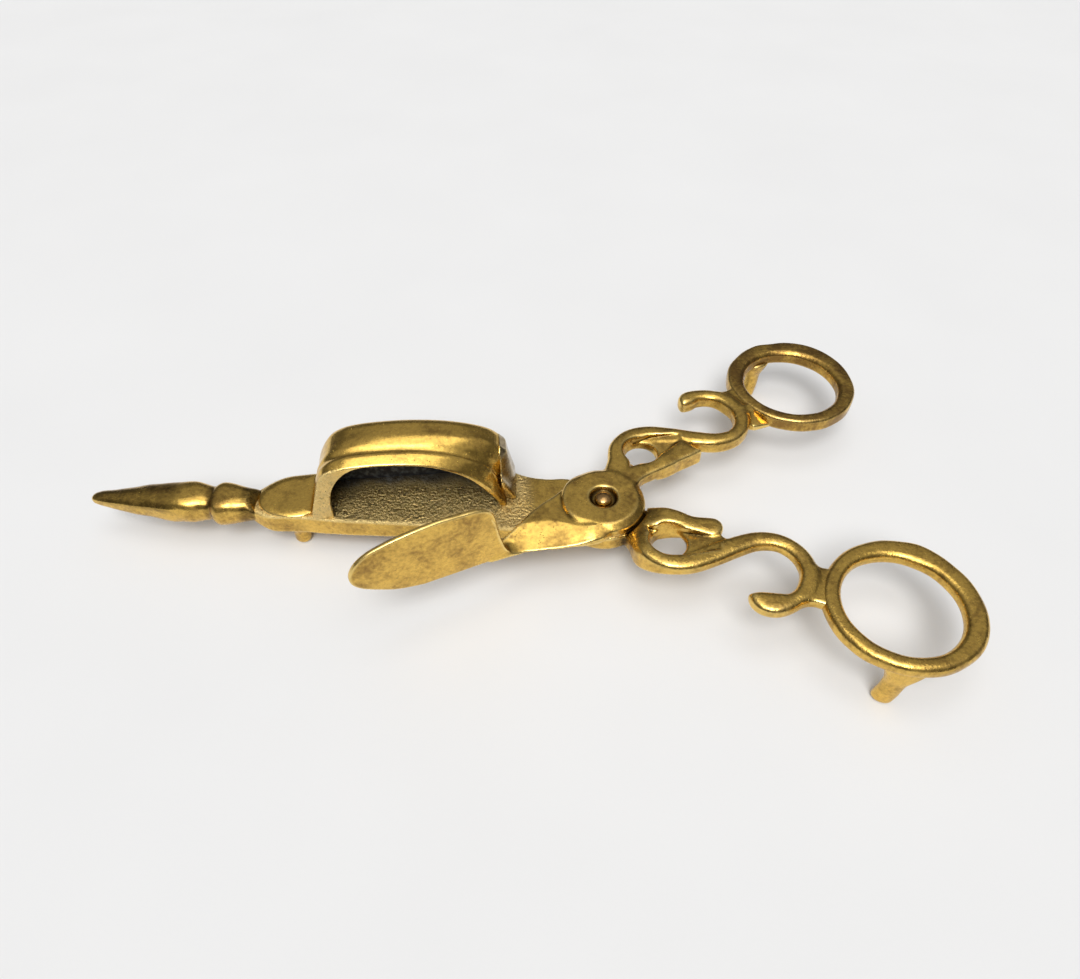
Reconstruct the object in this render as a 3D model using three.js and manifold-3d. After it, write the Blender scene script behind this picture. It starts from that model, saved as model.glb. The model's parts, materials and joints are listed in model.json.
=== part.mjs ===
// Candle wick trimmer (snuffer scissors) in cast brass, lying on its three feet.
// Two levers cross at a rivet. The lower one carries the snuff box on a flat pan, with a pointed
// finial in front. The upper one carries an upright trimming plate that closes on the box mouth.
// Millimetres, +Z up. The shapes are laid out around the rivet axis, with height 0 on the top
// of the finger bows, and the whole group is then moved so that its origin is on the ground
// under the middle of its bounding box.
import * as THREE from 'three';
import { mergeVertices } from 'three/addons/utils/BufferGeometryUtils.js';
import Module from 'manifold-3d';

const wasm = await Module();
wasm.setup();

// Surfaces: facets round a circle, and the small chamfer that the castings have along their edges
const coarseFacets = 24;
const fineFacets = 32;
const roundFacets = 56;
const castEdge = 0.3;
// Half the length of a cutting prism that has to reach past the whole part
const reach = 30;

// Heights
const topZ = 0;
const groundZ = -13.75;
const upperThickness = 3;
const boxHandleThickness = 2.8;
const bladeHandleThickness = 3.6;
const runningGap = 0.2;
const lowerThickness = 3.6;
const upperBottomZ = topZ - upperThickness;
const panTopZ = upperBottomZ - runningGap;
const panBottomZ = panTopZ - lowerThickness;
const pieceGap = 0.3;

// Handles: a scroll shank that ends at a finger bow, mirrored about the X axis
const handleAngle = THREE.MathUtils.degToRad(32.2);
const bowDistance = 60.1;
const bowInnerRadius = 11;
const bowOuterRadius = 15;
const boxBowThickness = 3.2;
const bladeBowThickness = 3.6;
const edgeBevel = 0.6;
const bowFoot = { x: 2.4, y: 12.5 };

// Pivot
const bossRadius = 8.5;
const bossChamfer = { in: 0.8, down: 0.9 };
const rivetRadius = 1.4;
const rivetClearance = 0.08;
const rivetHeadRadius = 1.95;
const rivetHeadRise = 0.25;
const rivetTail = { radius: 2.35, depth: 1 };
const countersink = { topRadius: 2.9, floorRadius: 2.25, depth: 1 };
const washer = { radius: 3.3, thickness: 0.7 };
const restingGap = 0.03;
const fillClearance = 6;

// Feet
const footTopRadius = 2.3;
const footTipRadius = 1.5;
const footRounding = 0.5;
const frontFoot = { x: -64.5, y: 7 };

// Snuff box. Its mouth is a vertical plane, with s along the mouth and depth behind it.
const mouthStart = { x: -58.39, y: 2.97 };
const mouthAngle = THREE.MathUtils.degToRad(-0.85);
const hoodWall = 1.3;
const rimDepth = 3.2;
const hoodDepth = 11.6;
const hoodEnd = 38.9;
const endWall = { thickness: 1.2, nearTopZ: 5.8, farTopZ: 4.6 };
const tongueThickness = 0.8;

// Trimming plate: a vertical plane in front of the pivot
const plateStart = { x: -16.38, y: -9.74 };
const plateAngle = THREE.MathUtils.degToRad(-162.3);
const plateThickness = 1.3;
const plateHeel = 7.1;
const shankDrop = 0.2;

// Finial
const finialJoint = { x: -72.9, y: 9.7 };
const finialAngle = THREE.MathUtils.degToRad(170);
const finialZ = -4.6;
const finialFlatness = 0.95;

function toSolid(geometry) {
  const bare = geometry.clone();
  bare.deleteAttribute('normal');
  bare.deleteAttribute('uv');
  const merged = mergeVertices(bare, 1e-4);
  const corners = Array.from(merged.index.array);
  const triVerts = [];
  for (let i = 0; i < corners.length; i += 3) {
    const [a, b, c] = corners.slice(i, i + 3);
    if (a !== b && b !== c && c !== a) {
      triVerts.push(a, b, c);
    }
  }
  return new wasm.Manifold(new wasm.Mesh({
    numProp: 3,
    vertProperties: Float32Array.from(merged.attributes.position.array),
    triVerts: Uint32Array.from(triVerts),
  }));
}

function toGeometry(solid) {
  const mesh = solid.getMesh();
  const geometry = new THREE.BufferGeometry();
  geometry.setAttribute('position', new THREE.BufferAttribute(mesh.vertProperties, mesh.numProp));
  geometry.setIndex(new THREE.BufferAttribute(mesh.triVerts, 1));
  geometry.computeVertexNormals();
  return geometry;
}

// A flat slab with the given plan outline, its edges chamfered by bevel.
function slab(outline, lowZ, highZ, bevel = 0) {
  const geometry = new THREE.ExtrudeGeometry(new THREE.Shape(outline), {
    depth: highZ - lowZ - 2 * bevel,
    bevelEnabled: bevel > 0,
    bevelThickness: bevel,
    bevelSize: bevel,
    bevelOffset: -bevel,
    bevelSegments: 1,
  });
  return geometry.translate(0, 0, lowZ + bevel);
}

// A prism whose outline is drawn in X and Z and which runs along Y from lowY to highY.
function prismAlongY(outline, lowY, highY) {
  const geometry = new THREE.ExtrudeGeometry(new THREE.Shape(outline), {
    depth: highY - lowY,
    bevelEnabled: false,
  });
  return geometry.rotateX(Math.PI / 2).translate(0, highY, 0);
}

function post(radius, lowZ, highZ, facets = roundFacets) {
  const geometry = new THREE.CylinderGeometry(radius, radius, highZ - lowZ, facets);
  return geometry.rotateX(Math.PI / 2).translate(0, 0, (lowZ + highZ) / 2);
}

// A body of revolution about +Z from a profile of [radius, z] pairs.
function turned(profile, facets) {
  const points = profile.map(([radius, z]) => new THREE.Vector2(radius, z));
  return new THREE.LatheGeometry(points, facets).rotateX(Math.PI / 2);
}

function vectors(pairs) {
  return pairs.map(([x, y]) => new THREE.Vector2(x, y));
}

function smoothLine(pairs, steps) {
  return new THREE.SplineCurve(vectors(pairs)).getPoints(steps);
}

// The outline of a bar of varying width along a smooth line, with a round end.
// Each station is [x, y, half width].
const endFacets = 6;

function ribbon(stations, steps) {
  const knots = stations.map(([x, y, half]) => new THREE.Vector3(x, y, half));
  const line = new THREE.CatmullRomCurve3(knots, false, 'centripetal').getPoints(steps);
  const left = [];
  const right = [];
  line.forEach((point, i) => {
    const before = line[Math.max(i - 1, 0)];
    const after = line[Math.min(i + 1, line.length - 1)];
    const along = new THREE.Vector2(after.x - before.x, after.y - before.y).normalize();
    left.push(new THREE.Vector2(point.x - along.y * point.z, point.y + along.x * point.z));
    right.push(new THREE.Vector2(point.x + along.y * point.z, point.y - along.x * point.z));
  });
  const end = line[line.length - 1];
  const heading = Math.atan2(end.y - line[line.length - 2].y, end.x - line[line.length - 2].x);
  const cap = [];
  for (let i = 1; i < endFacets; i += 1) {
    const angle = heading + Math.PI / 2 - (i * Math.PI) / endFacets;
    cap.push(new THREE.Vector2(end.x + Math.cos(angle) * end.z, end.y + Math.sin(angle) * end.z));
  }
  return [...left, ...cap, ...right.reverse()];
}

// ---- Handles ----------------------------------------------------------------
// In a handle's own frame X runs from the pivot to the bow and +Y is its outer side.
// The two castings differ a little: shift moves a scroll outwards from the common pattern, and
// rim is how far the bow's outer circle lies from the middle of its hole.

const boxHandle = {
  side: -1,
  thickness: boxHandleThickness,
  bowThickness: boxBowThickness,
  shift: -0.4,
  rim: { x: 0.16, y: -0.65 },
};
const bladeHandle = {
  side: 1,
  thickness: bladeHandleThickness,
  bowThickness: bladeBowThickness,
  shift: 0.8,
  rim: { x: 0.5, y: 0.4 },
};

const scrollStations = [
  [7, 2.6, 3], [10.2, 5.6, 2.5], [12.8, 8.8, 2], [16.6, 9.9, 1.9], [20.8, 8.5, 2],
  [24.8, 4.5, 2.1], [28.4, 0.1, 2.1], [32, -3.2, 1.9], [36, -4.5, 1.75], [40.2, -3.1, 1.8],
  [43, 0.6, 1.8], [43.3, 5, 1.75], [41.2, 8.8, 1.8], [37.8, 10.3, 1.6], [35.2, 10.6, 1],
];
const leafStations = [
  [6, 0.4, 3.2], [10.5, 0.5, 2.2], [15, -0.5, 1.6], [19.5, -0.8, 1.7], [23.2, -1.7, 2.2],
];
const webOutline = [[9, -1], [25, -1], [27, 1], [22, 7], [15, 9], [10, 7]];
const eye = { x: 16, y: 4.6, lowRadius: 3.2, highRadius: 4.3, margin: 0.1 };
const neckOutline = [[42, -2.4], [45.4, -3.2], [49, -3], [49, 6.6], [46, 6.6], [42, 7]];

function placed(outline, { side, shift }) {
  return outline.map((point) => new THREE.Vector2(point.x, (point.y + shift) * side));
}

function handleSolid(handle, lowZ) {
  const bars = [ribbon(scrollStations, 64), ribbon(leafStations, 14)];
  const fills = [vectors(webOutline), vectors(neckOutline)];
  const barSolids = bars.map((outline) => toSolid(slab(placed(outline, handle), lowZ, topZ, edgeBevel)));
  const fillSolids = fills.map((outline) => toSolid(slab(placed(outline, handle), lowZ, topZ - edgeBevel)));
  const solid = [...barSolids, ...fillSolids].reduce((whole, piece) => whole.add(piece));
  const depth = topZ - lowZ;
  const hole = new THREE.CylinderGeometry(eye.highRadius, eye.lowRadius, depth + 2 * eye.margin, fineFacets);
  hole.rotateX(Math.PI / 2).translate(eye.x, (eye.y + handle.shift) * handle.side, lowZ + depth / 2);
  const seat = post(bowOuterRadius + pieceGap, -reach, reach);
  seat.translate(bowDistance + handle.rim.x, handle.rim.y * handle.side, 0);
  return solid.subtract(toSolid(hole)).subtract(toSolid(seat));
}

function atHandle(solid, { side }) {
  return toSolid(toGeometry(solid).rotateZ(side * handleAngle));
}

function bowGeometry({ side, bowThickness, rim }) {
  const lowZ = topZ - bowThickness;
  const disc = turned([
    [0, lowZ],
    [bowOuterRadius - edgeBevel, lowZ],
    [bowOuterRadius, lowZ + edgeBevel],
    [bowOuterRadius, topZ - edgeBevel],
    [bowOuterRadius - edgeBevel, topZ],
    [0, topZ],
  ], roundFacets);
  const hole = turned([
    [0, lowZ - edgeBevel],
    [bowInnerRadius + 2 * edgeBevel, lowZ - edgeBevel],
    [bowInnerRadius, lowZ + edgeBevel],
    [bowInnerRadius, topZ - edgeBevel],
    [bowInnerRadius + 2 * edgeBevel, topZ + edgeBevel],
    [0, topZ + edgeBevel],
  ], roundFacets);
  disc.translate(rim.x, rim.y * side, 0);
  return toGeometry(toSolid(disc).subtract(toSolid(hole)));
}

function footGeometry(topOfFoot) {
  return turned([
    [0, groundZ],
    [footTipRadius - footRounding, groundZ],
    [footTipRadius, groundZ + footRounding],
    [footTopRadius, topOfFoot],
    [0, topOfFoot],
  ], coarseFacets);
}

// ---- Pivot -------------------------------------------------------------------

// The rivet passes through both levers: its domed head lies in a countersink on top, and its
// hammered tail holds a washer under the box lever's lug.
function rivetGeometry() {
  const tailTopZ = panBottomZ - washer.thickness - 2 * restingGap;
  const tailEndZ = tailTopZ - rivetTail.depth;
  const headBottomZ = topZ - countersink.depth + restingGap;
  const headTopZ = topZ + rivetHeadRise;
  const headEdgeZ = (headBottomZ + headTopZ) / 2;
  return turned([
    [0, tailEndZ],
    [rivetTail.radius * 0.6, tailEndZ + rivetTail.depth * 0.2],
    [rivetTail.radius, tailTopZ - rivetTail.depth * 0.2],
    [rivetTail.radius, tailTopZ],
    [rivetRadius, tailTopZ],
    [rivetRadius, headBottomZ],
    [rivetHeadRadius, headBottomZ],
    [rivetHeadRadius, headEdgeZ],
    [rivetHeadRadius * 0.8, headTopZ - rivetHeadRise],
    [rivetHeadRadius * 0.45, headTopZ - rivetHeadRise * 0.3],
    [0, headTopZ],
  ], fineFacets);
}

function washerGeometry() {
  const inner = rivetRadius + rivetClearance;
  const highZ = panBottomZ - restingGap;
  const lowZ = highZ - washer.thickness;
  const outer = washer.radius;
  return turned([[inner, lowZ], [outer, lowZ], [outer, highZ], [inner, highZ], [inner, lowZ]], fineFacets);
}

function pivotHole() {
  return toSolid(post(rivetRadius + rivetClearance, -reach, reach));
}

// ---- Box lever: pan, pivot lug and handle in one casting ------------------------

const panFrontEdge = [
  [-72, 5.8], [-69, 4.7], [-62.9, 3.9], [-55.4, 2.2], [-42.3, -0.1], [-30, -2.2], [-20, -4], [-12, -6],
  [-5, -7.4],
];
const panBackEdge = [
  [-3, 8], [-7.2, 9.1], [-10, 9.3], [-14.3, 10.4], [-17.4, 12.1], [-21, 15], [-30, 16], [-45, 16.2],
  [-61.5, 16.6], [-67, 16], [-70.6, 14], [-72, 12.8],
];
// Side view of the pan: it is thicker at the finial than at the lug.
const panFrontBottomZ = -8.3;
const panSide = [
  [-80, panFrontBottomZ], [-60, panFrontBottomZ], [-20, panBottomZ], [9, panBottomZ], [9, topZ], [-80, topZ],
];
// Side view of the box lever's handle: it climbs from the lug to the height of the bows.
const boxHandleBottomZ = topZ - boxHandleThickness;
const rampOutline = [
  [-9, panBottomZ], [8, panBottomZ], [12, -5.2], [16, -3.6], [21, boxHandleBottomZ], [60, boxHandleBottomZ],
  [60, topZ + 1], [18, topZ + 1], [16.5, -0.15], [13, -0.9], [10.8, -2], [9.2, panTopZ], [-9, panTopZ],
];

function boxLeverGeometry() {
  const panOutline = [...smoothLine(panFrontEdge, 20), ...smoothLine(panBackEdge, 26)];
  const side = toSolid(prismAlongY(vectors(panSide), -reach, reach));
  const pan = toSolid(slab(panOutline, panFrontBottomZ, panTopZ, castEdge)).intersect(side);
  const lug = toSolid(post(bossRadius, panBottomZ, panTopZ));
  const ramp = toSolid(prismAlongY(vectors(rampOutline), -reach, reach));
  const handle = atHandle(handleSolid(boxHandle, panBottomZ).intersect(ramp), boxHandle);
  return toGeometry(pan.add(lug).add(handle).subtract(pivotHole()));
}

// ---- Blade lever: boss, shank and handle in one casting -------------------------

const shankNearEdge = [[4, -8.2], [-2.5, -9.6], [-9, -10], [-15, -10.1], [-20, -11.1], [-24.2, -12.3]];
const shankFarEdge = [[-24.6, -11.1], [-21.5, -7.6], [-18, -4.6], [-13.7, -0.6], [-9.2, 2.6], [-6, 6]];

// The web that rises from the shank to the plate's heel, drawn in the plate's plane.
const seatS = plateHeel - pieceGap;
const shoulderOutline = [[1.5, -0.6], [3.5, 0.4], [5.2, 2.3], [6.3, 5.8], [seatS, 8.4], [seatS, -0.6]];

function atPlate(geometry) {
  return geometry.rotateZ(plateAngle).translate(plateStart.x, plateStart.y, 0);
}

function bladeLeverGeometry() {
  const boss = toSolid(turned([
    [0, upperBottomZ],
    [bossRadius, upperBottomZ],
    [bossRadius, topZ - bossChamfer.down],
    [bossRadius - bossChamfer.in, topZ],
    [0, topZ],
  ], roundFacets));
  const sink = toSolid(turned([
    [0, topZ - countersink.depth],
    [countersink.floorRadius, topZ - countersink.depth],
    [countersink.topRadius, topZ + restingGap],
    [0, topZ + restingGap],
  ], fineFacets));
  const shankOutline = [...smoothLine(shankNearEdge, 14), ...smoothLine(shankFarEdge, 14)];
  const shank = toSolid(slab(shankOutline, upperBottomZ, topZ - shankDrop, castEdge));
  const plateSeat = vectors([[seatS, -reach], [reach, -reach], [reach, reach], [seatS, reach]]);
  const clearOfPlate = toSolid(atPlate(prismAlongY(plateSeat, -reach, reach)));
  const shoulder = toSolid(atPlate(prismAlongY(vectors(shoulderOutline), -plateThickness, 0)));
  const handleBottomZ = topZ - bladeHandle.thickness;
  const handle = atHandle(handleSolid(bladeHandle, handleBottomZ), bladeHandle);
  const clearOfPan = toSolid(post(bossRadius + fillClearance, handleBottomZ - 1, upperBottomZ));
  const lever = boss.add(shank.subtract(clearOfPlate)).add(shoulder).add(handle.subtract(clearOfPan));
  return toGeometry(lever.subtract(sink).subtract(pivotHole()));
}

function brass(color, roughness) {
  return new THREE.MeshStandardMaterial({ color, roughness, metalness: 1 });
}

function add(parent, name, geometry, material) {
  const mesh = new THREE.Mesh(geometry, material);
  mesh.name = name;
  parent.add(mesh);
  return mesh;
}

// ---- Snuff box ---------------------------------------------------------------------
// Outlines in the mouth plane: s along the mouth from its left leg, and height.

const mouthOpening = [
  [2.8, panTopZ - 1], [2.5, -1], [2.8, 2.4], [4, 6], [6, 8.6], [9, 10.3], [13, 10.7], [18.2, 10.4], [23, 9.5],
  [27.5, 7.8], [31, 5.4], [34, 2], [36.2, -1.4], [37.4, panTopZ - 1],
];
const rimOutline = [
  [-1.9, panTopZ], [-1, 2], [0.3, 7.4], [2.4, 10.2], [6, 11.3], [12, 11.7], [18.4, 11.4], [23.6, 10.5],
  [28.4, 8.7], [32, 6.2], [35.2, 2.6], [37.4, -1.1], [38.4, panTopZ],
];
const bodyOutline = [
  [-1.7, panTopZ], [-0.3, 2], [1.8, 7], [4.6, 10.3], [8.6, 11.9], [14, 12.4], [20, 12.3], [27, 11.5],
  [32.5, 10.2], [36.4, 8.4], [hoodEnd, 6],
];
const bodyFloor = [[hoodEnd, panTopZ]];

function arch(outline, steps, lowDepth, highDepth) {
  return prismAlongY(smoothLine(outline, steps), lowDepth, highDepth);
}

// The outline moved inwards by the wall's thickness: sideways at the legs, and down under the crown.
const crownS = 18;
const crownHalf = 8;

function inset(outline, wall) {
  return outline.map(([s, z]) => {
    const sideways = wall * THREE.MathUtils.clamp((crownS - s) / crownHalf, -1, 1);
    return [s + sideways, z - wall];
  });
}

function atMouth(geometry) {
  return geometry.rotateZ(mouthAngle).translate(mouthStart.x, mouthStart.y, 0);
}

function hoodGeometry() {
  const rim = toSolid(arch(rimOutline, 40, 0, rimDepth + pieceGap));
  const bodyLine = [...smoothLine(bodyOutline, 40), ...vectors(bodyFloor)];
  const body = toSolid(prismAlongY(bodyLine, rimDepth, hoodDepth));
  const opening = toSolid(arch(mouthOpening, 40, -pieceGap, rimDepth + hoodWall));
  const belowPan = panTopZ - 1;
  const hollowLine = [
    ...smoothLine([[1, belowPan], ...inset(bodyOutline, hoodWall).slice(1, -1)], 36),
    new THREE.Vector2(hoodEnd + 1, endWall.nearTopZ),
    new THREE.Vector2(hoodEnd + 1, belowPan),
  ];
  const hollow = toSolid(prismAlongY(hollowLine, rimDepth + hoodWall - pieceGap, hoodDepth - hoodWall));
  return atMouth(toGeometry(rim.add(body).subtract(opening).subtract(hollow)));
}

// The flat wall that closes the box on the side of the pivot.
function hoodEndWallGeometry() {
  const nearS = hoodEnd + pieceGap;
  const farS = nearS + endWall.thickness;
  const top = [[nearS, endWall.nearTopZ], [farS, endWall.farTopZ]];
  const outline = vectors([[nearS, panTopZ], ...top, [farS, panTopZ]]);
  return atMouth(prismAlongY(outline, rimDepth, hoodDepth));
}

// A flat tongue that laps the end of the pan in front of the box.
const tongueOutline = [
  [-60.8, 4.6], [-62.4, 3.7], [-66, 4], [-69.8, 5.6], [-72, 8.4], [-72.1, 11.2], [-70.4, 13.6], [-66.4, 15.6],
  [-60.8, 16],
];

function tongueGeometry() {
  return slab(smoothLine(tongueOutline, 24), panTopZ, panTopZ + tongueThickness);
}

// ---- Trimming plate ----------------------------------------------------------------
// Outline in the plate's plane: s from the shank towards the nose, and height.

const plateOutline = [
  [plateHeel, upperBottomZ], [22, upperBottomZ], [26.9, -1.8], [30.5, 0], [33.4, 1.9], [35, 4], [35.2, 6.2],
  [34, 8.6], [31.6, 10.6], [28, 11.8], [23, 12.7], [18, 13.2], [13.4, 13], [9.6, 12.6], [7.8, 11.2], [7.2, 6],
  [plateHeel, 1],
];

function plateGeometry() {
  const corner = vectors(plateOutline.slice(0, 1));
  const outline = [...corner, ...smoothLine(plateOutline.slice(1), 44)];
  return prismAlongY(outline, -plateThickness, 0);
}

// ---- Finial ------------------------------------------------------------------------
// Profile of [half width, distance from the joint to the tip].

const finialProfile = [
  [0, 0], [3.4, 0], [3.5, 1.2], [4.2, 3.2], [4.4, 5], [4, 6.8], [3.4, 8.3], [3.7, 10], [4.3, 12.8], [4.2, 16],
  [3.6, 21], [2.8, 26.5], [1.8, 31.5], [0.9, 35.2], [0, 36.3],
];

function finialGeometry() {
  const geometry = turned(finialProfile, coarseFacets).rotateY(Math.PI / 2);
  geometry.scale(1, 1, finialFlatness).rotateZ(finialAngle);
  return geometry.translate(finialJoint.x, finialJoint.y, finialZ);
}

// ---- Assembly ----------------------------------------------------------------------

const castBrass = brass(0x8a6a28, 0.38);
const boxBrass = brass(0x9a7830, 0.34);
const plateBrass = brass(0xb08932, 0.3);
const solderedBrass = brass(0x7d7358, 0.55);
const rivetBrass = brass(0x6d4f2a, 0.35);

const assembly = new THREE.Group();

add(assembly, 'box_lever', boxLeverGeometry(), castBrass);
add(assembly, 'finial_spike', finialGeometry(), castBrass);
add(assembly, 'tongue_plate', tongueGeometry(), castBrass);
add(assembly, 'snuff_box_hood', hoodGeometry(), boxBrass);
add(assembly, 'snuff_box_end_wall', hoodEndWallGeometry(), solderedBrass);
add(assembly, 'pivot_rivet', rivetGeometry(), rivetBrass);
add(assembly, 'rivet_washer', washerGeometry(), castBrass);
add(assembly, 'blade_lever', bladeLeverGeometry(), castBrass);

const front = add(assembly, 'front_foot', footGeometry(panFrontBottomZ), castBrass);
front.position.set(frontFoot.x, frontFoot.y, 0);

const plate = add(assembly, 'trimming_plate', plateGeometry(), plateBrass);
plate.position.set(plateStart.x, plateStart.y, 0);
plate.rotation.z = plateAngle;

[['box', boxHandle], ['blade', bladeHandle]].forEach(([lever, handle]) => {
  const turnedGroup = new THREE.Group();
  turnedGroup.rotation.z = handle.side * handleAngle;
  const bow = add(turnedGroup, `${lever}_finger_bow`, bowGeometry(handle), castBrass);
  bow.position.x = bowDistance;
  const foot = add(turnedGroup, `${lever}_bow_foot`, footGeometry(topZ - handle.bowThickness), castBrass);
  foot.position.set(bowDistance + bowFoot.x, handle.side * bowFoot.y, 0);
  assembly.add(turnedGroup);
});

// The origin is on the ground under the middle of the bounding box.
const bounds = new THREE.Box3().setFromObject(assembly, true);
const centre = bounds.getCenter(new THREE.Vector3());
assembly.position.set(-centre.x, -centre.y, -bounds.min.z);

const group = new THREE.Group();
group.add(assembly);

export default group;
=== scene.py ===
import math
import json
import bpy
import numpy as np
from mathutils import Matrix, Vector


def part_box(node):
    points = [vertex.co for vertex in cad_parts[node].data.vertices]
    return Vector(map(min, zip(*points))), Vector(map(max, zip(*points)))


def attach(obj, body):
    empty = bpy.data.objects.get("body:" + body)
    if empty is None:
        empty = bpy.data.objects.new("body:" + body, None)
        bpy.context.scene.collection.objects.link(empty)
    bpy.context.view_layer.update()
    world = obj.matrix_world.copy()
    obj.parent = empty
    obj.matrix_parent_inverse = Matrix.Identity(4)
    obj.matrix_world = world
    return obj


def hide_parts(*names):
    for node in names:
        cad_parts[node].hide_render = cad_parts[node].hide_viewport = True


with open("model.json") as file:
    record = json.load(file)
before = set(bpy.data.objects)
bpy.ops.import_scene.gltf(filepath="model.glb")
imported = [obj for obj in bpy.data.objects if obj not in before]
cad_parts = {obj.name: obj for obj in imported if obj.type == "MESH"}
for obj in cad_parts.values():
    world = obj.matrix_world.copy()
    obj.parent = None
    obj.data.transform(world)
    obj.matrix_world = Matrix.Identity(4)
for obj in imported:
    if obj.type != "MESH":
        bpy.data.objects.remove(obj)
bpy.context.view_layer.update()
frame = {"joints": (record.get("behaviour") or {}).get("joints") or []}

# The shapes below are in the tool's own frame: millimetres around the rivet axis, with height 0 on
# the top of the finger bows, +X towards the bows and +Y towards the blade lever's bow.
MM = 0.001
PIVOT = Vector(frame["joints"][0]["pos_m"])
TOP_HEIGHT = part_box("blade_finger_bow")[1].z
ORIGIN = np.array([PIVOT.x, PIVOT.y, TOP_HEIGHT])
GROUND_Z = -TOP_HEIGHT / MM

# Spacing of the grids that the shapes are sampled on
STEP = 0.25
FINE_STEP = 0.2
FINEST_STEP = 0.15

PAN_TOP = -3.2
PAN_BOTTOM = -6.8
PAN_FRONT_BOTTOM = -8.3
UPPER_BOTTOM = -3.0


# ---- Fields: signed distances on a grid, negative inside ---------------------------

def smooth_min(a, b, k):
    h = np.clip(0.5 + 0.5 * (b - a) / k, 0, 1)
    return b * (1 - h) + a * h - k * h * (1 - h)


def smooth_max(a, b, k):
    return -smooth_min(-a, -b, k)


def smooth_step(low, high, value):
    t = np.clip((value - low) / (high - low), 0, 1)
    return t * t * (3 - 2 * t)


def blend(a, b, t):
    return a + (b - a) * t


def spline(stations, steps=90):
    """Points along a smooth curve through the stations, which may have any number of columns."""
    p = np.array(stations, float)
    gaps = np.sqrt(np.linalg.norm(np.diff(p[:, :2], axis=0), axis=1))
    t = np.concatenate([[0], np.cumsum(gaps)])
    slope = np.gradient(p, t, axis=0)
    u = np.linspace(0, t[-1], steps)
    i = np.clip(np.searchsorted(t, u, side="right") - 1, 0, len(t) - 2)
    h = (t[i + 1] - t[i])[:, None]
    w = ((u - t[i])[:, None]) / h
    return ((2 * w**3 - 3 * w**2 + 1) * p[i] + (w**3 - 2 * w**2 + w) * h * slope[i]
            + (3 * w**2 - 2 * w**3) * p[i + 1] + (w**3 - w**2) * h * slope[i + 1])


def around(angle, stations):
    """A radius that changes smoothly with the angle, from stations of [degrees, radius]."""
    p = np.array(stations, float)
    turn = np.array([360, 0])
    line = spline(np.concatenate([p - turn, p, p + turn]), 600)
    return np.interp(np.degrees(angle), line[:, 0], line[:, 1])


def bar(x, y, line):
    """Distance to a bar along a line of [x, y, half width] points."""
    x, y = np.broadcast_arrays(x, y)
    best = np.full(x.shape, 1e3)
    for (ax, ay, aw), (bx, by, bw) in zip(line[:-1], line[1:]):
        dx, dy = bx - ax, by - ay
        t = np.clip(((x - ax) * dx + (y - ay) * dy) / max(dx * dx + dy * dy, 1e-9), 0, 1)
        away = np.hypot(x - ax - t * dx, y - ay - t * dy) - (aw + t * (bw - aw))
        best = np.minimum(best, away)
    return best


def polygon(x, y, points):
    """Signed distance to a closed outline."""
    x, y = np.broadcast_arrays(x, y)
    p = np.array(points, float)[:, :2]
    best = np.full(x.shape, 1e6)
    inside = np.zeros(x.shape, bool)
    for (ax, ay), (bx, by) in zip(p, np.roll(p, -1, axis=0)):
        dx, dy = bx - ax, by - ay
        t = np.clip(((x - ax) * dx + (y - ay) * dy) / max(dx * dx + dy * dy, 1e-9), 0, 1)
        best = np.minimum(best, (x - ax - t * dx) ** 2 + (y - ay - t * dy) ** 2)
        if dy:
            crosses = ((ay > y) != (by > y)) & (x < ax + (y - ay) * dx / dy)
            inside ^= crosses
    return np.where(inside, -1, 1) * np.sqrt(best)


def slab(flat, z, low, high, rounding):
    """A flat outline given thickness from low to high, with rounded edges."""
    along = np.maximum(z - high, low - z) + rounding
    across = flat + rounding
    outside = np.hypot(np.maximum(across, 0), np.maximum(along, 0))
    return np.minimum(np.maximum(across, along), 0) + outside - rounding


WAVES = 5
WAVE_STRETCH = (0.6, 1.6)
WAVES_HEIGHT = 2.2


def wobble(x, y, z, amount, length, seed):
    """A slow unevenness, as hand finishing leaves: waves of about the given length, in all directions."""
    rng = np.random.default_rng(seed)
    total = 0
    for _ in range(WAVES):
        way = rng.normal(size=3)
        way *= 2 * math.pi / (length * rng.uniform(*WAVE_STRETCH) * np.linalg.norm(way))
        total = total + np.sin(way[0] * x + way[1] * y + way[2] * z + rng.uniform(0, 6.3))
    return amount * total / WAVES_HEIGHT


def grid(low, high, step):
    """Coordinates of a box of points, ready to be combined in a field."""
    axes = [np.arange(a, b + step, step) for a, b in zip(low, high)]
    x = axes[0][:, None, None]
    y = axes[1][None, :, None]
    z = axes[2][None, None, :]
    return x, y, z


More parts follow.
